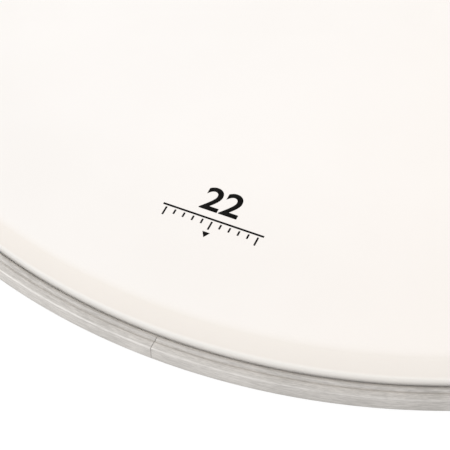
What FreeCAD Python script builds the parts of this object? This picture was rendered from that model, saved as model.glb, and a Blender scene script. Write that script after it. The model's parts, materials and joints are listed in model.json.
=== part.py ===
"""Drum head for a 22 inch bass drum: a formed film locked in a rolled aluminium flesh hoop.

Millimetres. The origin is the centre of the hoop's foot and +Z points up through the playing surface.
The hoop's butt seam lies on the -Y side.
"""
import FreeCAD, Part
import math
import os

# Drum that the head fits over
SHELL_DIAMETER = 558.8          # 22 inch shell, measured over its outside
SHELL_GAP = 0.6                 # from the shell to the hoop's bore, on the radius

# Film
FILM_THICKNESS = 0.3            # with its coat
COLLAR_RISE = 12.4              # from the hoop's top to the playing surface
COLLAR_RUN = 5.6                # from the skirt in to the edge of the playing surface, on the radius
SHOULDER_RISE = 3.4             # from the hoop's top to the shoulder between skirt and collar
COLLAR_BEND = 6.0               # bend radius round the playing surface
SHOULDER_BEND = 2.5

# Flesh hoop, rolled from one strip
STRIP_THICKNESS = 1.0
HOOP_HEIGHT = 7.6
SLOT_GAP = 0.40                 # open slot between the film and the bead's nose
BEAD_WIDTH = 2.0
GROOVE_WIDTH = 2.1
GROOVE_DEPTH = 0.52
FLANGE_WIDTH = 3.10             # flat rim outside the groove, where the drum's rim presses
NOSE_LENGTH = 2.2               # how far the bead's nose reaches down
LEG_DROP = 1.2                  # from the hoop's top down to the end of the inner leg
BEAD_RADIUS = 1.5
GROOVE_RADIUS = 1.0
TOP_EDGE_RADIUS = 0.7
FOOT_RADIUS = 0.7
SEAM_GAP = 0.15                 # hairline between the two butted ends

# Lock ring inside the hoop
RING_CORNER = 0.9
RING_GAP = 1.0                  # between the ring's ends, on the side away from the hoop's seam

FIT_GAP = 0.1                   # between the folded film and what it lies against

# Radii of the fitted surfaces, from the bore outwards
BORE_RADIUS = SHELL_DIAMETER / 2 + SHELL_GAP
SKIRT_RADIUS = BORE_RADIUS + STRIP_THICKNESS + FIT_GAP + FILM_THICKNESS
NOSE_RADIUS = SKIRT_RADIUS + SLOT_GAP
GROOVE_INNER = NOSE_RADIUS + BEAD_WIDTH
GROOVE_OUTER = GROOVE_INNER + GROOVE_WIDTH
HOOP_RADIUS = GROOVE_OUTER + FLANGE_WIDTH
WALL_INSIDE = HOOP_RADIUS - STRIP_THICKNESS

# Lock ring with the film folded round it, between the channel's walls and the nose
FOLD = FIT_GAP + FILM_THICKNESS + FIT_GAP
RING_INNER = SKIRT_RADIUS + FIT_GAP
RING_OUTER = WALL_INSIDE - FOLD
RING_BOTTOM = STRIP_THICKNESS + FOLD
RING_TOP = HOOP_HEIGHT - NOSE_LENGTH - FOLD
RING_ROUNDING = min(RING_CORNER, 0.45 * (RING_TOP - RING_BOTTOM), 0.45 * (RING_OUTER - RING_INNER))

AXIS_POINT = FreeCAD.Vector(0, 0, 0)
AXIS = FreeCAD.Vector(0, 0, 1)
CLEAR = 1.0                     # how far a cutting box runs past what it cuts


class Corner:
    """A corner of a section in the XZ plane, rounded by a radius."""

    def __init__(self, radius_out, height, rounding=0.0):
        self.point = FreeCAD.Vector(radius_out, 0, height)
        self.rounding = rounding


def direction(start, end):
    return (end.point - start.point).normalize()


def left_of(heading):
    return FreeCAD.Vector(-heading.z, 0, heading.x)


def turn_between(before, after):
    """Signed turn in radians, positive to the left."""
    return math.atan2(before.x * after.z - before.z * after.x, before.dot(after))


def shifted(corners, distance):
    """The same open line moved sideways, to the left where distance is positive, with its bends kept round."""
    headings = [direction(start, end) for start, end in zip(corners, corners[1:])]
    moved = []
    for corner, before, after in zip(corners, headings[:1] + headings, headings + headings[-1:]):
        turn = turn_between(before, after)
        sideways = (left_of(before) + left_of(after)) * (distance / (1 + math.cos(turn)))
        place = corner.point + sideways
        rounding = corner.rounding - math.copysign(distance, turn * distance)
        moved.append(Corner(place.x, place.z, max(rounding, 0)))
    return moved


def edges_along(corners):
    """Lines joined by tangent arcs, from the first corner to the last."""
    edges = []
    reached = corners[0].point
    for before, corner, after in zip(corners, corners[1:], corners[2:]):
        heading_in = direction(before, corner)
        heading_out = direction(corner, after)
        half_turn = abs(turn_between(heading_in, heading_out)) / 2
        if corner.rounding == 0:
            edges.append(Part.LineSegment(reached, corner.point).toShape())
            reached = corner.point
            continue
        tangent = corner.rounding * math.tan(half_turn)
        arc_start = corner.point - heading_in * tangent
        arc_end = corner.point + heading_out * tangent
        inward = (heading_out - heading_in).normalize()
        arc_middle = corner.point + inward * (corner.rounding / math.cos(half_turn) - corner.rounding)
        edges.append(Part.LineSegment(reached, arc_start).toShape())
        edges.append(Part.Arc(arc_start, arc_middle, arc_end).toShape())
        reached = arc_end
    edges.append(Part.LineSegment(reached, corners[-1].point).toShape())
    return edges


def strip_section(corners, thickness, round_ends=False):
    """Face of a bent strip: its near side follows the corners, its far side lies to the left."""
    near = corners
    far = list(reversed(shifted(corners, thickness)))
    edges = edges_along(near)
    edges.append(end_edge(near, far, thickness, round_ends))
    edges += edges_along(far)
    edges.append(end_edge(far, near, thickness, round_ends))
    return Part.Face(Part.Wire(edges))


def end_edge(finished, following, thickness, rounded):
    """Closes one end of a strip, square or fully rounded."""
    start = finished[-1].point
    end = following[0].point
    if not rounded:
        return Part.LineSegment(start, end).toShape()
    heading = direction(finished[-2], finished[-1])
    tip = (start + end) * 0.5 + heading * (abs(thickness) / 2)
    return Part.Arc(start, tip, end).toShape()


def turned(section):
    """Solid of revolution round the head's axis."""
    return section.revolve(AXIS_POINT, AXIS, 360)


def split(ring, side, gap, inner, outer, top):
    """Cuts a ring through on its -Y or +Y side, which side gives as -1 or 1."""
    length = outer - inner + 2 * CLEAR
    start = inner - CLEAR if side > 0 else -outer - CLEAR
    blade = Part.makeBox(gap, length, top + 2 * CLEAR, FreeCAD.Vector(-gap / 2, start, -CLEAR))
    return ring.cut(blade).removeSplitter()


def make_flesh_hoop():
    """Channel from the top of the inner leg round the foot, wall, flange and groove to the bead's nose."""
    leg_top = HOOP_HEIGHT - LEG_DROP - STRIP_THICKNESS / 2
    nose_end = HOOP_HEIGHT - NOSE_LENGTH + STRIP_THICKNESS / 2
    groove_middle = (GROOVE_INNER + GROOVE_OUTER) / 2
    bead = min(BEAD_RADIUS, 0.9 * (HOOP_HEIGHT - nose_end), 0.8 * BEAD_WIDTH)
    outside = [
        Corner(BORE_RADIUS, leg_top),
        Corner(BORE_RADIUS, 0, FOOT_RADIUS),
        Corner(HOOP_RADIUS, 0, FOOT_RADIUS),
        Corner(HOOP_RADIUS, HOOP_HEIGHT, TOP_EDGE_RADIUS),
        Corner(GROOVE_OUTER, HOOP_HEIGHT, GROOVE_RADIUS),
        Corner(groove_middle, HOOP_HEIGHT - GROOVE_DEPTH, GROOVE_RADIUS),
        Corner(GROOVE_INNER, HOOP_HEIGHT, GROOVE_RADIUS),
        Corner(NOSE_RADIUS, HOOP_HEIGHT, bead),
        Corner(NOSE_RADIUS, nose_end),
    ]
    channel = turned(strip_section(outside, STRIP_THICKNESS, round_ends=True))
    return split(channel, -1, SEAM_GAP, BORE_RADIUS, HOOP_RADIUS, HOOP_HEIGHT)


def make_lock_ring():
    """Flat bar with rounded edges, bent to a ring and left open at its ends."""
    middle = (RING_INNER + RING_OUTER) / 2
    section = [
        Corner(middle, RING_BOTTOM),
        Corner(RING_OUTER, RING_BOTTOM, RING_ROUNDING),
        Corner(RING_OUTER, RING_TOP, RING_ROUNDING),
        Corner(RING_INNER, RING_TOP, RING_ROUNDING),
        Corner(RING_INNER, RING_BOTTOM, RING_ROUNDING),
        Corner(middle, RING_BOTTOM),
    ]
    ring = turned(Part.Face(Part.Wire(edges_along(section))))
    return split(ring, 1, RING_GAP, RING_INNER, RING_OUTER, RING_TOP)


def make_film():
    """Playing surface, collar and skirt, then the hem creased round the lock ring to under the nose."""
    playing_height = HOOP_HEIGHT + COLLAR_RISE
    fold_inside = SKIRT_RADIUS
    fold_outside = RING_OUTER + FIT_GAP
    fold_bottom = RING_BOTTOM - FIT_GAP
    fold_top = RING_TOP + FIT_GAP
    crease = (RING_ROUNDING + FIT_GAP) * (2 - math.sqrt(2))    # touches the bend it stands for at 45 degrees
    top_side = [
        Corner(0, playing_height),
        Corner(SKIRT_RADIUS - COLLAR_RUN, playing_height, COLLAR_BEND),
        Corner(SKIRT_RADIUS, HOOP_HEIGHT + SHOULDER_RISE, SHOULDER_BEND),
        Corner(fold_inside, fold_bottom + crease),
        Corner(fold_inside + crease, fold_bottom),
        Corner(fold_outside - crease, fold_bottom),
        Corner(fold_outside, fold_bottom + crease),
        Corner(fold_outside, fold_top - crease),
        Corner(fold_outside - crease, fold_top),
        Corner(NOSE_RADIUS, fold_top),
    ]
    return turned(strip_section(top_side, -FILM_THICKNESS))


def main():
    os.makedirs("parts", exist_ok=True)
    make_flesh_hoop().exportStep("parts/flesh_hoop.step")
    make_lock_ring().exportStep("parts/lock_ring.step")
    make_film().exportStep("parts/film.step")


main()
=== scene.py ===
"""A white drum head lying face up on a plain white table, seen from above the near side of its rim.

Metres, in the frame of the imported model: +Z up through the playing surface, hoop seam and print on -Y.
Right means towards +X, as seen by someone who reads the print.
"""
import json
import math

import bmesh
import bpy
from mathutils import Matrix, Vector


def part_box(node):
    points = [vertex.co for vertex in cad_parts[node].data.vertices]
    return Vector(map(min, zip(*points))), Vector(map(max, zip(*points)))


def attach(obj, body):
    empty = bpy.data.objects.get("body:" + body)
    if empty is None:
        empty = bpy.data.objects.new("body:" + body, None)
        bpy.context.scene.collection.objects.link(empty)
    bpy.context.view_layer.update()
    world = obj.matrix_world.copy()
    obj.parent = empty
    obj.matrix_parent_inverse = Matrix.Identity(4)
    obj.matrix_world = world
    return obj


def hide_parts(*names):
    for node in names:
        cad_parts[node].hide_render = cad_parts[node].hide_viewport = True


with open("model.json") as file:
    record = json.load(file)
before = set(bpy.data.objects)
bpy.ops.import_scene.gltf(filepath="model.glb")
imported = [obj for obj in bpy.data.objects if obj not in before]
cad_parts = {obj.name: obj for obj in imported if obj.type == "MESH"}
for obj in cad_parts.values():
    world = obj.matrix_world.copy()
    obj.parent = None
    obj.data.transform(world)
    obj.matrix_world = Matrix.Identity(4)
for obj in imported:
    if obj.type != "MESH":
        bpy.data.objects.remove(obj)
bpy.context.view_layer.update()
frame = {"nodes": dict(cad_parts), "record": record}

MM = 0.001
INCH = 25.4 * MM
mounts = {mount["name"]: mount for mount in frame["record"]["mounts"]}

# Sizes that the frame gives
BORE_RADIUS = mounts["shell_bore"]["dims"]["r_mm"] * MM
HOOP_RADIUS = mounts["rim_guide"]["dims"]["r_mm"] * MM
HOOP_TOP = mounts["rim_seat"]["pos_m"][2]
PRINT_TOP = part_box("film")[1][2]
FILM_THICKNESS = PRINT_TOP - mounts["bearing_edge_seat"]["pos_m"][2]
RING_LOW, RING_HIGH = (corner[2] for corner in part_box("lock_ring"))

# Rolled strip of the hoop
STRIP_THICKNESS = 1.0 * MM
FIT_GAP = 0.1 * MM
SLOT_GAP = 0.40 * MM
BEAD_WIDTH = 2.0 * MM
GROOVE_WIDTH = 2.1 * MM
GROOVE_DEPTH = 0.52 * MM
NOSE_LENGTH = 2.2 * MM
LEG_DROP = 1.2 * MM
BEAD_BEND = 1.5 * MM
GROOVE_BEND = 1.0 * MM
TOP_EDGE_BEND = 0.7 * MM
FOOT_BEND = 0.7 * MM
SEAM_GAP = 0.15 * MM
SEAM_BURR = 0.06 * MM

# Formed film
INK_THICKNESS = 0.02 * MM
PLAYING_TOP = PRINT_TOP - INK_THICKNESS
SKIRT_RADIUS = BORE_RADIUS + STRIP_THICKNESS + FIT_GAP + FILM_THICKNESS
COLLAR_RUN = 5.6 * MM
SHOULDER_TOP = HOOP_TOP + 3.4 * MM
COLLAR_BEND = 6.0 * MM
SHOULDER_BEND = 2.5 * MM
HEM_BEND = 1.0 * MM
HEM_RADIUS = HOOP_RADIUS - STRIP_THICKNESS - FIT_GAP - FILM_THICKNESS

# Radii of the hoop's top, from the slot outwards
NOSE_RADIUS = SKIRT_RADIUS + SLOT_GAP
GROOVE_INNER = NOSE_RADIUS + BEAD_WIDTH
GROOVE_OUTER = GROOVE_INNER + GROOVE_WIDTH
GROOVE_MIDDLE = (GROOVE_INNER + GROOVE_OUTER) / 2

# Mesh fineness
ROUND_STEPS = 540
ARC_STEP = math.radians(10)
LONGEST_RUN = 45 * MM
MERGE_GAP = 0.001 * MM
CREASE_ANGLE = math.radians(35)
BURR_SEGMENTS = 2

# Printed size mark, read from outside the head
RULE_LENGTH = 46.0 * MM
RULE_WIDTH = 1.0 * MM
RULE_PLACE = -227.7 * MM
LONG_TICK_COUNT = 3
SHORT_TICK_COUNT = 4           # between two long ones
TICK_COUNT = LONG_TICK_COUNT + (LONG_TICK_COUNT - 1) * SHORT_TICK_COUNT
TICK_PITCH = RULE_LENGTH / TICK_COUNT
LONG_TICK_PITCH = (SHORT_TICK_COUNT + 1) * TICK_PITCH
TICK_WIDTH = 0.8 * MM
SHORT_TICK = 2.6 * MM
LONG_TICK = 4.6 * MM
NUMBER_HEIGHT = 13.0 * MM
NUMBER_GAP = 3.4 * MM
FIGURE_WEIGHT = 0.018          # outline moved out, as a share of the letter's own size
FIGURE_MERGE_GAP = 0.0001      # in the letter's own size
POINTER_RADIUS = 2.0 * MM
PRINT_GAP = 0.7 * MM

# Film colours, in pairs where soft clouds blend two
FILM_MIDDLE = (0.957, 0.924, 0.893), (0.967, 0.935, 0.905)
# Painted shade: the playing surface darkens towards the collar
FILM_OUTER = (0.931, 0.896, 0.863), (0.941, 0.907, 0.875)
# Painted shade: the collar's colour is darker as well as creamier
FILM_COLLAR = (0.860, 0.808, 0.752), (0.872, 0.820, 0.765)
# Painted shade: the film is made warmer and a little darker towards the right
FILM_RIGHT_SHADE = (0.994, 0.970, 0.945)
# Painted highlight: the skirt below the shoulder is whiter than the collar, giving the bright line at the
# shoulder; warmer on the right, painted shade
SKIRT_LEFT = (0.985, 0.968, 0.938)
SKIRT_RIGHT = (0.980, 0.943, 0.893)
# Painted shade where the film goes down into the hoop's slot
FILM_SLOT_SHADE = (0.80, 0.772, 0.738)

# Film surface
CLOUD_SCALE = 22
FILM_SLOT_SHADE_SCALE = 130
GRAIN_SCALE = 2400
GRAIN_STRENGTH = 0.12
FLAT_GRAIN_DEPTH = 0.05 * MM
COLLAR_GRAIN_DEPTH = 0.015 * MM
FLAT_ROUGHNESS = 0.5, 0.62
COLLAR_ROUGHNESS = 0.36, 0.44
FILM_SHINE = 0.35

# Where the film's colours fade into each other: start and end, by radius, height or place in X
OUTER_FADE = 0.66 * SKIRT_RADIUS, 0.92 * SKIRT_RADIUS
FILM_RIGHT_SHADE_FADE = -0.35 * SKIRT_RADIUS, 0.80 * SKIRT_RADIUS
DRAWN_FADE = PLAYING_TOP - 1.5 * MM, PLAYING_TOP
SKIRT_FADE = SHOULDER_TOP - 0.6 * MM, SHOULDER_TOP + 1.2 * MM
FILM_SLOT_SHADE_FADE = HOOP_TOP - 0.4 * MM, HOOP_TOP + 2.2 * MM
DEEP_FADE = HOOP_TOP - 1.6 * MM, HOOP_TOP - 0.4 * MM
LIGHTER_LEFT_FADE = -0.02 * SKIRT_RADIUS, 0.12 * SKIRT_RADIUS
LIGHTER_LEFT_SHARE = 0.8
THIN_FILM_SLOT_SHADE = 0.75              # between its patches

# Metal and ink colours
HOOP_LIGHT = (0.786, 0.754, 0.719)
HOOP_DARK = (0.58, 0.557, 0.53)
RING_LIGHT = (0.6, 0.6, 0.6)
RING_DARK = (0.5, 0.5, 0.5)
# Painted highlight along the hoop's top outer edge
EDGE_HIGHLIGHT = (0.817, 0.788, 0.756)
# Painted shade on the metal beside the slot, wide on the left and close to it on the right
WIDE_SLOT_SHADE = (0.865, 0.862, 0.86)
CLOSE_SLOT_SHADE = (0.74, 0.738, 0.736)
# Painted shade darkening the groove
GROOVE_SHADE = (0.932, 0.931, 0.93)
# Painted shade: the metal darkens towards the right
RIGHT_SHADE = (0.88, 0.877, 0.874)
INK_BLACK = (0.003, 0.0027, 0.0024)
INK_THIN = (0.009, 0.008, 0.007)

# Metal surface: lines across and along the strip, and what each pattern adds to the tone
STREAK_WIDTH = 0.45 * MM
STREAK_LENGTH = 7 * MM
STREAK_SHARE = 0.43
LINE_WIDTH = 0.18 * MM
LINE_LENGTH = 2.2 * MM
LINE_SHARE = 0.38
LINE_DEPTH = 0.02 * MM
LINE_STRENGTH = 0.15
TARNISH_SCALE = 55
TARNISH_SHARE = 0.24
DARK_ROUGHNESS = 0.48
LIGHT_ROUGHNESS = 0.36
BRUSHED = 0.7
BRUSHED_TURN = 0.25            # of a full turn, from the run of the strip

# Where the metal's colours fade into each other: start and end, by tone or by place
TONE_FADE = 0.385, 0.665
RIGHT_FADE = 0.10 * HOOP_RADIUS, 0.31 * HOOP_RADIUS
METAL_RIGHT_SHADE_FADE = -0.35 * HOOP_RADIUS, 0.38 * HOOP_RADIUS
GROOVE_SHADE_RADIUS = GROOVE_MIDDLE + 0.2 * MM
GROOVE_FADE = 0.2 * MM, 1.4 * MM
WIDE_SLOT_SHADE_FADE = 1.2 * MM, 4.2 * MM
CLOSE_SLOT_SHADE_FADE = 1.2 * MM, 2.2 * MM
ABOVE_HEM_FADE = RING_HIGH - 1.5 * MM, RING_HIGH
THIN_METAL_SLOT_SHADE = 0.5               # between its streaks
WALL_FADE = HOOP_RADIUS - 0.7 * MM, HOOP_RADIUS - 0.3 * MM
TOP_EDGE_FADE = HOOP_TOP - 0.6 * MM, HOOP_TOP - 0.3 * MM
EDGE_HIGHLIGHT_WIDTH = 4 * STREAK_WIDTH
EDGE_HIGHLIGHT_FADE = 0.35, 0.6
THIN_EDGE_HIGHLIGHT = 0.3                 # where the bright line breaks
EDGE_HIGHLIGHT_RIGHT = 0.6                # share of the bright line that is left on the right

# Ink surface
SPECK_SCALE = 2600
SPECK_FADE = 0.35, 0.8
INK_ROUGHNESS = 0.42, 0.6
INK_SHINE = 0.05

# Table
TABLE_SIZE = 8
TABLE_DROP = 0.05 * MM
TABLE_WHITE = (0.95, 0.95, 0.95)
TABLE_SEEN = (0.25, 0.25, 0.25)
TABLE_GLOW = 0.82
MIRROR_GLOW = 0.78
# Painted shade: the table's glow in reflections falls towards the right, darkening the metal there
MIRROR_SLOPE = -0.78
MIRROR_REACH = 0.2
# Painted contact shadow: the table glows less in reflections under and beside the hoop's foot
UNDER_HOOP_GLOW = 0.5
UNDER_HOOP_FADE = HOOP_RADIUS - 0.4 * MM, HOOP_RADIUS + 1.2 * MM

# Light
SKY_LEVEL = 1.07
SKY_SLOPE = Vector((-0.03, -0.04, -0.10))
SEEN_SLOPE = Vector((-0.10, -0.02, -0.12))
KEY_POWER = 1.8
KEY_SIZE = 2.0
KEY_PLACE = Vector((-1.0, -1.25, 1.05))

# Camera, fitted to the rim and the print in the photograph
LENS = 104.0
SENSOR = 36.0
CAMERA_PLACE = Vector((0.1446, -0.5435, 0.4373))
CAMERA_AIM = Vector((0.0056, -0.2283, 0.0200))


# Modelling steps

def deselect_all():
    if bpy.context.mode != "OBJECT":
        bpy.ops.object.mode_set(mode="OBJECT")
    bpy.ops.object.select_all(action="DESELECT")


def select_only(piece):
    deselect_all()
    piece.select_set(True)
    bpy.context.view_layer.objects.active = piece


def edit_whole(piece):
    """Opens one piece in edit mode with all of it selected."""
    select_only(piece)
    bpy.ops.object.mode_set(mode="EDIT")
    bpy.ops.mesh.select_all(action="SELECT")


def turn_between(before, after):
    """Signed turn in radians, positive to the left."""
    return math.atan2(before.cross(after), before.dot(after))


def shifted(corners, distance):
    """The same bent line moved to its left, or right where distance is negative, its bends kept round."""
    places = [Vector(corner[:2]) for corner in corners]
    headings = [(end - start).normalized() for start, end in zip(places, places[1:])]
    headings_in = headings[:1] + headings
    headings_out = headings + headings[-1:]
    moved = []
    for corner, place, before, after in zip(corners, places, headings_in, headings_out):
        turn = turn_between(before, after)
        sideways = (before.orthogonal() + after.orthogonal()) * (distance / (1 + math.cos(turn)))
        bend = corner[2] - math.copysign(distance, turn * distance)
        moved.append((*(place + sideways), max(bend, 0)))
    return moved


def rounded_line(corners):
    """Points along straight runs joined by tangent arcs; a corner is (radius, height, bend radius)."""
    places = [Vector(corner[:2]) for corner in corners]
    line = [places[0]]
    for before, corner, after, (_, _, bend) in zip(places, places[1:], places[2:], corners[1:]):
        heading_in = (corner - before).normalized()
        heading_out = (after - corner).normalized()
        turn = turn_between(heading_in, heading_out)
        arc_start = corner - heading_in * bend * math.tan(abs(turn) / 2)
        line += arc_points(arc_start, heading_in, turn, bend)
    line.append(places[-1])
    return line


def arc_points(start, heading, turn, bend):
    """Points of an arc that leaves start along heading; a sharp corner is one point."""
    if bend == 0:
        return [start]
    centre = start + heading.orthogonal() * math.copysign(bend, turn)
    steps = math.ceil(abs(turn) / ARC_STEP)
    turns = [Matrix.Rotation(turn * step / steps, 2) for step in range(steps + 1)]
    return [centre + turned @ (start - centre) for turned in turns]


def with_rings(line):
    """The same line with long straight runs divided evenly."""
    divided = [line[0]]
    for start, end in zip(line, line[1:]):
        parts = math.ceil((end - start).length / LONGEST_RUN)
        divided += [start.lerp(end, part / parts) for part in range(1, parts + 1)]
    return divided


def turned_section(name, line, start_angle, sweep):
    """Extrudes a section point by point in an upright plane, turns it round the head's axis, closes it."""
    across = Vector((math.cos(start_angle), math.sin(start_angle), 0))
    places = [across * radius + Vector((0, 0, height)) for radius, height in line]
    deselect_all()
    bpy.ops.mesh.primitive_plane_add(size=MM)
    piece = bpy.context.object
    piece.name = name
    bpy.ops.object.mode_set(mode="EDIT")
    bpy.ops.mesh.merge(type="CENTER")
    bpy.ops.transform.translate(value=places[0])
    for here, there in zip(places, places[1:]):
        bpy.ops.mesh.extrude_vertices_move(TRANSFORM_OT_translate={"value": there - here})
    bpy.ops.object.mode_set(mode="OBJECT")
    turn = piece.modifiers.new("turn", "SCREW")
    turn.axis = "Z"
    turn.angle = sweep
    turn.steps = ROUND_STEPS
    turn.render_steps = ROUND_STEPS
    bpy.ops.object.modifier_apply(modifier=turn.name)
    edit_whole(piece)
    bpy.ops.mesh.remove_doubles(threshold=MERGE_GAP)
    bpy.ops.mesh.fill_holes(sides=0)
    bpy.ops.mesh.select_all(action="SELECT")
    bpy.ops.mesh.normals_make_consistent(inside=False)
    bpy.ops.object.mode_set(mode="OBJECT")
    return piece


def round_edges(piece, wanted, width, segments):
    """Bevels the edges for which wanted is true."""
    edit_whole(piece)
    bpy.ops.mesh.select_mode(type="EDGE")
    bpy.ops.mesh.select_all(action="DESELECT")
    mesh = bmesh.from_edit_mesh(piece.data)
    for edge in mesh.edges:
        edge.select_set(wanted(edge))
    bmesh.update_edit_mesh(piece.data)
    bpy.ops.mesh.bevel(offset=width, segments=segments, affect="EDGES")
    bpy.ops.object.mode_set(mode="OBJECT")


def repeat(piece, count, step):
    """Copies a piece along X with an array."""
    bpy.context.view_layer.objects.active = piece
    row = piece.modifiers.new("row", "ARRAY")
    row.count = count
    row.use_relative_offset = False
    row.use_constant_offset = True
    row.constant_offset_displace = (step, 0, 0)
    bpy.ops.object.modifier_apply(modifier=row.name)


def smooth(piece):
    select_only(piece)
    bpy.ops.object.shade_smooth_by_angle(angle=CREASE_ANGLE)


# Nodes that the finishes share

def new_finish(name):
    finish = bpy.data.materials.new(name)
    finish.use_nodes = True
    return finish, finish.node_tree, finish.node_tree.nodes["Principled BSDF"]


def add_node(tree, kind, inputs=(), **settings):
    """A shader node with its settings made and its inputs set or linked."""
    made = tree.nodes.new(kind)
    for key, value in settings.items():
        setattr(made, key, value)
    for socket, value in dict(inputs).items():
        if isinstance(value, bpy.types.NodeSocket):
            tree.links.new(value, made.inputs[socket])
        else:
            made.inputs[socket].default_value = value
    return made


def place_on_piece(tree):
    return add_node(tree, "ShaderNodeTexCoord").outputs["Object"]


def noise(tree, vector, scale=1.0, detail=3):
    inputs = {"Vector": vector, "Scale": scale, "Detail": detail}
    return add_node(tree, "ShaderNodeTexNoise", inputs).outputs["Fac"]


def maths(tree, operation, first, second=0.0):
    return add_node(tree, "ShaderNodeMath", {0: first, 1: second}, operation=operation).outputs["Value"]


def product(tree, first, *others):
    for other in others:
        first = maths(tree, "MULTIPLY", first, other)
    return first


def spread(tree, value, low, high, start=0.3, end=0.7):
    """Maps a value between start and end smoothly to the range from low to high."""
    return map_range(tree, value, low, high, start, end, "SMOOTHSTEP")


def ramp(tree, value, low, high, start=0, end=1):
    """Maps a value between start and end evenly to the range from low to high."""
    return map_range(tree, value, low, high, start, end, "LINEAR")


def map_range(tree, value, low, high, start, end, way):
    inputs = {"Value": value, "From Min": start, "From Max": end, "To Min": low, "To Max": high}
    return add_node(tree, "ShaderNodeMapRange", inputs, interpolation_type=way).outputs["Result"]


def blend_colours(tree, factor, first, second, blend="MIX"):
    mix = add_node(tree, "ShaderNodeMix", data_type="RGBA", blend_type=blend)
    tree.links.new(factor, mix.inputs[0])
    for socket, colour in ((mix.inputs[6], first), (mix.inputs[7], second)):
        if isinstance(colour, bpy.types.NodeSocket):
            tree.links.new(colour, socket)
        else:
            socket.default_value = (*colour, 1)
    return mix.outputs[2]


def shade(tree, factor, colour, tint):
    """Darkens a colour by a tint where the factor is high."""
    return blend_colours(tree, factor, colour, tint, "MULTIPLY")


def round_place(tree, place):
    """Distance from the head's axis, height, angle with its cut at the hoop's seam, and place in X."""
    parts = add_node(tree, "ShaderNodeSeparateXYZ", {"Vector": place}).outputs
    flat = add_node(tree, "ShaderNodeCombineXYZ", {"X": parts["X"], "Y": parts["Y"]}).outputs["Vector"]
    radius = add_node(tree, "ShaderNodeVectorMath", {0: flat}, operation="LENGTH").outputs["Value"]
    return radius, parts["Z"], maths(tree, "ARCTAN2", parts["X"], parts["Y"]), parts["X"]


def distance_from(tree, radius, ring_radius):
    return maths(tree, "ABSOLUTE", maths(tree, "SUBTRACT", radius, ring_radius))


def along_strip(tree, radius, height, angle, width, length):
    """Coordinates that draw a pattern out along the hoop."""
    drawn = {"X": product(tree, radius, 1 / width),
             "Y": product(tree, height, 1 / width),
             "Z": product(tree, angle, HOOP_RADIUS / length)}
    return add_node(tree, "ShaderNodeCombineXYZ", drawn).outputs["Vector"]


# Finishes

def white_film_finish():
    """Warm white film with a fine matt grain, creamier and glossier where it is drawn down at the collar;
    the collar's darker colour is painted shade, the whiter skirt a painted highlight, and the film has
    painted shade beside the slot and towards the right.
    """
    finish, tree, skin = new_finish("white_film")
    place = place_on_piece(tree)
    radius, height, _, across = round_place(tree, place)
    drawn = ramp(tree, height, 1, 0, *DRAWN_FADE)
    below = spread(tree, height, 1, 0, *SKIRT_FADE)
    # painted shade, warmer and darker towards the right
    warm_right_shade = spread(tree, across, 0, 1, *FILM_RIGHT_SHADE_FADE)
    clouds = spread(tree, noise(tree, place, CLOUD_SCALE), 0, 1)
    flat_colour = playing_surface_colour(tree, radius, warm_right_shade, clouds)
    collar_colour = blend_colours(tree, clouds, *FILM_COLLAR)
    # painted shade darkens the collar
    upper_colour = blend_colours(tree, drawn, flat_colour, collar_colour)
    # painted highlight on the skirt below the shoulder
    skirt_highlight_colour = blend_colours(tree, warm_right_shade, SKIRT_LEFT, SKIRT_RIGHT)
    colour_before_slot_shade = blend_colours(tree, below, upper_colour, skirt_highlight_colour)
    # painted shade on the film beside and in the slot
    colour = blend_colours(tree, grime_at_slot(tree, place, height, across), colour_before_slot_shade, FILM_SLOT_SHADE)
    grain = noise(tree, place, GRAIN_SCALE)
    matt = spread(tree, grain, *FLAT_ROUGHNESS)
    glossy = spread(tree, grain, *COLLAR_ROUGHNESS)
    roughness = add_node(tree, "ShaderNodeMix", {0: drawn, 2: matt, 3: glossy}, data_type="FLOAT").outputs[0]
    depth = spread(tree, drawn, FLAT_GRAIN_DEPTH, COLLAR_GRAIN_DEPTH, 0, 1)
    relief = {"Strength": GRAIN_STRENGTH, "Distance": depth, "Height": grain}
    bump = add_node(tree, "ShaderNodeBump", relief)
    tree.links.new(colour, skin.inputs["Base Color"])
    tree.links.new(roughness, skin.inputs["Roughness"])
    tree.links.new(bump.outputs["Normal"], skin.inputs["Normal"])
    skin.inputs["Specular IOR Level"].default_value = FILM_SHINE
    return finish


def playing_surface_colour(tree, radius, warm_right_shade, clouds):
    """Painted shade: slightly darker towards the collar, and softly warmer and darker towards the right."""
    outer = spread(tree, radius, 0, 1, *OUTER_FADE)
    middle_colour = blend_colours(tree, clouds, *FILM_MIDDLE)
    outer_colour = blend_colours(tree, clouds, *FILM_OUTER)
    return shade(tree, warm_right_shade, blend_colours(tree, outer, middle_colour, outer_colour), FILM_RIGHT_SHADE)


def grime_at_slot(tree, place, height, across):
    """Painted shade on the film beside the hoop and down into the slot, in patches, lighter deep in the slot
    on the left.
    """
    low_on_skirt = spread(tree, height, 1, 0, *FILM_SLOT_SHADE_FADE)
    deep = spread(tree, height, 1, 0, *DEEP_FADE)
    lighter_left = spread(tree, across, LIGHTER_LEFT_SHARE, 0, *LIGHTER_LEFT_FADE)
    kept_shade = maths(tree, "SUBTRACT", 1, product(tree, deep, lighter_left))
    patches = spread(tree, noise(tree, place, FILM_SLOT_SHADE_SCALE), THIN_FILM_SLOT_SHADE, 1)
    return product(tree, low_on_skirt, product(tree, kept_shade, patches))


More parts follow.
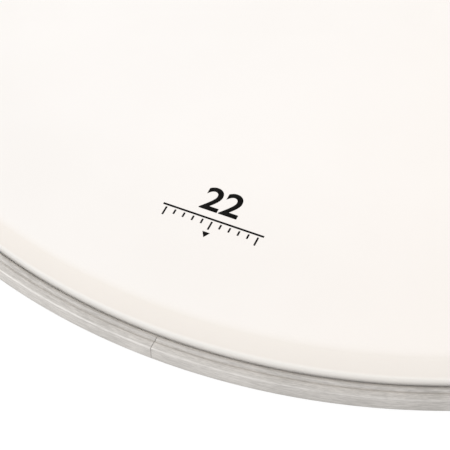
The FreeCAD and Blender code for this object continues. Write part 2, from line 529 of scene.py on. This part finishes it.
def satin_aluminium_finish(name, light, dark):
    """Satin metal: streaks and finer lines along the strip and soft tarnish, with painted shade beside the
    slot, in the groove and towards the right, and a painted highlight along the top outer edge.
    """
    finish, tree, metal = new_finish(name)
    place = place_on_piece(tree)
    radius, height, angle, across = round_place(tree, place)
    streaks = noise(tree, along_strip(tree, radius, height, angle, STREAK_WIDTH, STREAK_LENGTH), detail=2)
    lines = noise(tree, along_strip(tree, radius, height, angle, LINE_WIDTH, LINE_LENGTH), detail=2)
    tarnish = noise(tree, place, TARNISH_SCALE, detail=4)
    fine = maths(tree, "ADD", product(tree, streaks, STREAK_SHARE), product(tree, lines, LINE_SHARE))
    tone = maths(tree, "ADD", fine, product(tree, tarnish, TARNISH_SHARE))
    right = spread(tree, across, 0, 1, *RIGHT_FADE)
    # painted shade towards the right
    metal_right_shade = ramp(tree, across, 0, 1, *METAL_RIGHT_SHADE_FADE)
    # painted shade in the groove
    in_groove = spread(tree, distance_from(tree, radius, GROOVE_SHADE_RADIUS), 1, 0, *GROOVE_FADE)
    wide_shade, close_shade = stains_at_slot(tree, radius, height, lines, right)
    colour = blend_colours(tree, spread(tree, tone, 0, 1, *TONE_FADE), dark, light)
    # painted highlight along the top outer edge
    colour = blend_colours(tree, rubbed_edge(tree, radius, height, angle, right), colour, EDGE_HIGHLIGHT)
    # painted shade beside the slot
    colour = shade(tree, wide_shade, colour, WIDE_SLOT_SHADE)
    colour = shade(tree, close_shade, colour, CLOSE_SLOT_SHADE)
    colour = shade(tree, in_groove, colour, GROOVE_SHADE)
    colour = shade(tree, metal_right_shade, colour, RIGHT_SHADE)
    roughness = spread(tree, tone, DARK_ROUGHNESS, LIGHT_ROUGHNESS, *TONE_FADE)
    relief = {"Strength": LINE_STRENGTH, "Distance": LINE_DEPTH, "Height": fine}
    bump = add_node(tree, "ShaderNodeBump", relief)
    tangent = add_node(tree, "ShaderNodeTangent", direction_type="RADIAL", axis="Z")
    tree.links.new(colour, metal.inputs["Base Color"])
    tree.links.new(roughness, metal.inputs["Roughness"])
    tree.links.new(bump.outputs["Normal"], metal.inputs["Normal"])
    tree.links.new(tangent.outputs["Tangent"], metal.inputs["Tangent"])
    metal.inputs["Metallic"].default_value = 1.0
    metal.inputs["Anisotropic"].default_value = BRUSHED
    metal.inputs["Anisotropic Rotation"].default_value = BRUSHED_TURN
    return finish


def stains_at_slot(tree, radius, height, lines, right):
    """Painted shade on the metal beside the slot, broken by the lines: wide and dull on the left, darker and
    close to the slot on the right.
    """
    from_nose = distance_from(tree, radius, NOSE_RADIUS)
    above_hem = spread(tree, height, 0, 1, *ABOVE_HEM_FADE)
    streaky_shade = product(tree, above_hem, spread(tree, lines, THIN_METAL_SLOT_SHADE, 1))
    beside_slot = spread(tree, from_nose, 1, 0, *WIDE_SLOT_SHADE_FADE)
    close_to_slot = spread(tree, from_nose, 1, 0, *CLOSE_SLOT_SHADE_FADE)
    wide_shade = product(tree, streaky_shade, product(tree, beside_slot, ramp(tree, right, 1, 0)))
    close_shade = product(tree, streaky_shade, product(tree, right, close_to_slot))
    return wide_shade, close_shade


def rubbed_edge(tree, radius, height, angle, right):
    """Painted highlight: a broken bright line along the hoop's upper outer edge, weaker on the right."""
    outside = spread(tree, radius, 0, 1, *WALL_FADE)
    top = spread(tree, height, 0, 1, *TOP_EDGE_FADE)
    highlight_breaks = noise(tree, along_strip(tree, radius, height, angle, EDGE_HIGHLIGHT_WIDTH, STREAK_LENGTH))
    broken = spread(tree, highlight_breaks, THIN_EDGE_HIGHLIGHT, 1, *EDGE_HIGHLIGHT_FADE)
    weaker = ramp(tree, right, 1, EDGE_HIGHLIGHT_RIGHT)
    return product(tree, outside, top, product(tree, weaker, broken))


def print_ink_finish():
    """Black screen ink, a little thinner in specks where the film's grain shows through."""
    finish, tree, ink = new_finish("print_ink")
    specks = noise(tree, place_on_piece(tree), SPECK_SCALE)
    colour = blend_colours(tree, spread(tree, specks, 0, 1, *SPECK_FADE), INK_BLACK, INK_THIN)
    tree.links.new(colour, ink.inputs["Base Color"])
    tree.links.new(spread(tree, specks, *INK_ROUGHNESS), ink.inputs["Roughness"])
    ink.inputs["Specular IOR Level"].default_value = INK_SHINE
    return finish


def ray_kinds(tree):
    """1 for rays from the camera, and 1 for rays that gloss or glass sends on."""
    path = add_node(tree, "ShaderNodeLightPath").outputs
    mirrored = maths(tree, "MAXIMUM", path["Is Glossy Ray"], path["Is Transmission Ray"])
    return path["Is Camera Ray"], mirrored


def table_finish():
    """White to the eye, with a faint shadow; in reflections its glow falls towards the right, painted shade
    on the metal, and dims under the hoop's foot, a painted contact shadow.
    """
    finish, tree, top = new_finish("white_table")
    radius, _, _, across = round_place(tree, place_on_piece(tree))
    camera_ray, mirrored = ray_kinds(tree)
    step = MIRROR_REACH * MIRROR_SLOPE
    # painted shade in the metal's reflections towards the right
    sloped = ramp(tree, across, MIRROR_GLOW - step, MIRROR_GLOW + step, -MIRROR_REACH, MIRROR_REACH)
    # painted contact shadow in reflections near the hoop's foot
    contact_shadow_factor = spread(tree, radius, UNDER_HOOP_GLOW, 1, *UNDER_HOOP_FADE)
    mirror_glow = product(tree, mirrored, product(tree, sloped, contact_shadow_factor))
    glow = maths(tree, "ADD", product(tree, camera_ray, TABLE_GLOW), mirror_glow)
    seen = maths(tree, "MAXIMUM", camera_ray, mirrored)
    tree.links.new(blend_colours(tree, seen, TABLE_WHITE, TABLE_SEEN), top.inputs["Base Color"])
    tree.links.new(glow, top.inputs["Emission Strength"])
    top.inputs["Emission Color"].default_value = (1, 1, 1, 1)
    top.inputs["Roughness"].default_value = 1.0
    top.inputs["Specular IOR Level"].default_value = 0.0
    return finish


# Pieces

def make_film():
    """Flat playing surface, soft bend, steep collar, shoulder, skirt and the hem folded in the hoop."""
    hem_low = RING_LOW - FIT_GAP
    hem_high = RING_HIGH + FIT_GAP
    upper_side = [
        (0, PLAYING_TOP, 0),
        (SKIRT_RADIUS - COLLAR_RUN, PLAYING_TOP, COLLAR_BEND),
        (SKIRT_RADIUS, SHOULDER_TOP, SHOULDER_BEND),
        (SKIRT_RADIUS, hem_low, HEM_BEND),
        (HEM_RADIUS, hem_low, HEM_BEND),
        (HEM_RADIUS, hem_high, HEM_BEND),
        (NOSE_RADIUS, hem_high, 0),
    ]
    under_side = shifted(upper_side, -FILM_THICKNESS)
    section = rounded_line(upper_side) + rounded_line(under_side)[::-1]
    film = turned_section("drum_film", with_rings(section), 0, math.tau)
    smooth(film)
    film.data.materials.append(white_film_finish())
    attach(film, "root")
    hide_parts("film")


def make_hoop():
    """Channel rolled from one strip, from the inner leg round to the bead's nose, butted at the seam."""
    half_strip = STRIP_THICKNESS / 2
    outside = [
        (BORE_RADIUS, HOOP_TOP - LEG_DROP - half_strip, 0),
        (BORE_RADIUS, 0, FOOT_BEND),
        (HOOP_RADIUS, 0, FOOT_BEND),
        (HOOP_RADIUS, HOOP_TOP, TOP_EDGE_BEND),
        (GROOVE_OUTER, HOOP_TOP, GROOVE_BEND),
        (GROOVE_MIDDLE, HOOP_TOP - GROOVE_DEPTH, GROOVE_BEND),
        (GROOVE_INNER, HOOP_TOP, GROOVE_BEND),
        (NOSE_RADIUS, HOOP_TOP, BEAD_BEND),
        (NOSE_RADIUS, HOOP_TOP - NOSE_LENGTH + half_strip, 0),
    ]
    inside = shifted(outside, STRIP_THICKNESS)[::-1]
    outside_line = rounded_line(outside)
    inside_line = rounded_line(inside)
    nose_end = arc_points(outside_line[-1], Vector((0, -1)), math.pi, half_strip)
    leg_end = arc_points(inside_line[-1], Vector((0, 1)), math.pi, half_strip)
    section = outside_line + nose_end[1:-1] + inside_line + leg_end[1:]
    half_gap = SEAM_GAP / 2 / HOOP_RADIUS
    hoop = turned_section("rolled_hoop", section, -math.pi / 2 + half_gap, math.tau - 2 * half_gap)
    round_edges(hoop, is_seam_edge, SEAM_BURR, BURR_SEGMENTS)
    smooth(hoop)
    hoop.data.materials.append(satin_aluminium_finish("satin_aluminium", HOOP_LIGHT, HOOP_DARK))
    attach(hoop, "root")
    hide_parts("flesh_hoop")


def is_seam_edge(edge):
    """Both ends of the edge lie on one of the two butted faces."""
    return all(abs(vertex.co.x) < SEAM_GAP and vertex.co.y < 0 for vertex in edge.verts)


def finish_lock_ring():
    ring = frame["nodes"]["lock_ring"]
    ring.data.materials.clear()
    ring.data.materials.append(satin_aluminium_finish("ring_aluminium", RING_LIGHT, RING_DARK))


def ink_plate(name, width, low, high, middle=0.0):
    """Thin flat bar of ink between two places on the Y axis."""
    deselect_all()
    bpy.ops.mesh.primitive_plane_add(size=1)
    plate = bpy.context.object
    plate.name = name
    bpy.ops.object.mode_set(mode="EDIT")
    bpy.ops.transform.resize(value=(width, high - low, 1))
    bpy.ops.transform.translate(value=(middle, (low + high) / 2, PLAYING_TOP))
    raise_ink()
    return plate


def raise_ink():
    """Gives the flat faces being edited the ink's thickness."""
    bpy.ops.mesh.extrude_region_move(TRANSFORM_OT_translate={"value": (0, 0, INK_THICKNESS)})
    bpy.ops.mesh.select_all(action="SELECT")
    bpy.ops.mesh.normals_make_consistent(inside=False)
    bpy.ops.object.mode_set(mode="OBJECT")


def make_number(low):
    """The drum's size in inches, as plain figures."""
    deselect_all()
    bpy.ops.object.text_add()
    figures = bpy.context.object
    figures.data.body = str(round(2 * BORE_RADIUS / INCH))
    figures.data.offset = FIGURE_WEIGHT
    bpy.ops.object.convert(target="MESH")
    figures = bpy.context.object
    corners = [Vector(corner) for corner in figures.bound_box]
    left = min(corner.x for corner in corners)
    right = max(corner.x for corner in corners)
    bottom = min(corner.y for corner in corners)
    top = max(corner.y for corner in corners)
    scale = NUMBER_HEIGHT / (top - bottom)
    edit_whole(figures)
    bpy.ops.mesh.remove_doubles(threshold=FIGURE_MERGE_GAP)
    bpy.ops.transform.translate(value=(-(left + right) / 2, -bottom, 0))
    bpy.ops.transform.resize(value=(scale, scale, 1), center_override=(0, 0, 0))
    bpy.ops.transform.translate(value=(0, low, PLAYING_TOP))
    raise_ink()
    return figures


def make_pointer(top):
    """Small triangle that points out to the hoop's seam."""
    deselect_all()
    bpy.ops.mesh.primitive_circle_add(vertices=3, radius=POINTER_RADIUS, fill_type="NGON")
    pointer = bpy.context.object
    upright = sum(vertex.co.y > 0 for vertex in pointer.data.vertices) == 1
    bpy.ops.object.mode_set(mode="EDIT")
    bpy.ops.transform.resize(value=(1, -1 if upright else 1, 1), center_override=(0, 0, 0))
    bpy.ops.transform.translate(value=(0, top - POINTER_RADIUS / 2, PLAYING_TOP))
    raise_ink()
    return pointer


def make_print():
    """Size mark in black ink: the drum's size over a short rule with ticks, and a pointer to the seam."""
    rule_low = RULE_PLACE - RULE_WIDTH / 2
    rule_high = RULE_PLACE + RULE_WIDTH / 2
    tick_top = rule_low - PRINT_GAP
    first_long = -(LONG_TICK_COUNT - 1) / 2 * LONG_TICK_PITCH
    first_short = first_long + TICK_PITCH
    rule = ink_plate("size_print", RULE_LENGTH, rule_low, rule_high)
    long_ticks = ink_plate("long_ticks", TICK_WIDTH, tick_top - LONG_TICK, tick_top, first_long)
    repeat(long_ticks, LONG_TICK_COUNT, LONG_TICK_PITCH)
    short_ticks = ink_plate("short_ticks", TICK_WIDTH, tick_top - SHORT_TICK, tick_top, first_short)
    repeat(short_ticks, SHORT_TICK_COUNT, TICK_PITCH)
    repeat(short_ticks, LONG_TICK_COUNT - 1, LONG_TICK_PITCH)
    number = make_number(rule_high + NUMBER_GAP)
    pointer = make_pointer(tick_top - LONG_TICK - 2 * PRINT_GAP)
    deselect_all()
    for mark in (rule, long_ticks, short_ticks, number, pointer):
        mark.select_set(True)
    bpy.context.view_layer.objects.active = rule
    bpy.ops.object.join()
    rule.data.materials.clear()
    rule.data.materials.append(print_ink_finish())
    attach(rule, "root")


# Stage, light and camera

def make_table():
    deselect_all()
    bpy.ops.mesh.primitive_plane_add(size=TABLE_SIZE, location=(0, 0, -TABLE_DROP))
    table = bpy.context.object
    table.name = "table"
    table.data.materials.append(table_finish())


def make_lights():
    """Soft white sky that the metal sees a little differently, and one large weak lamp."""
    world = bpy.data.worlds.new("studio")
    bpy.context.scene.world = world
    world.use_nodes = True
    tree = world.node_tree
    background = tree.nodes["Background"]
    camera_ray, mirrored = ray_kinds(tree)
    sky = ramp(tree, mirrored, sky_towards(tree, SKY_SLOPE), sky_towards(tree, SEEN_SLOPE))
    tree.links.new(ramp(tree, camera_ray, sky, 1), background.inputs["Strength"])
    background.inputs["Color"].default_value = (1, 1, 1, 1)
    key = bpy.data.lights.new("key", "AREA")
    key.size = KEY_SIZE
    key.energy = KEY_POWER
    lamp = bpy.data.objects.new("key", key)
    bpy.context.collection.objects.link(lamp)
    lamp.location = KEY_PLACE
    lamp.rotation_euler = (-KEY_PLACE).to_track_quat("-Z", "Y").to_euler()


def sky_towards(tree, slope):
    """Brightness of a sky that grows in the slope's direction."""
    inputs = {0: place_on_piece(tree), 1: slope}
    part = add_node(tree, "ShaderNodeVectorMath", inputs, operation="DOT_PRODUCT").outputs["Value"]
    return maths(tree, "ADD", part, SKY_LEVEL)


def make_camera():
    camera = bpy.data.cameras.new("camera")
    camera.lens = LENS
    camera.sensor_width = SENSOR
    holder = bpy.data.objects.new("camera", camera)
    bpy.context.collection.objects.link(holder)
    holder.location = CAMERA_PLACE
    holder.rotation_euler = (CAMERA_AIM - CAMERA_PLACE).to_track_quat("-Z", "Y").to_euler()
    bpy.context.scene.camera = holder


make_film()
make_hoop()
finish_lock_ring()
make_print()
make_table()
make_lights()
make_camera()
bpy.context.scene.view_settings.view_transform = "Standard"
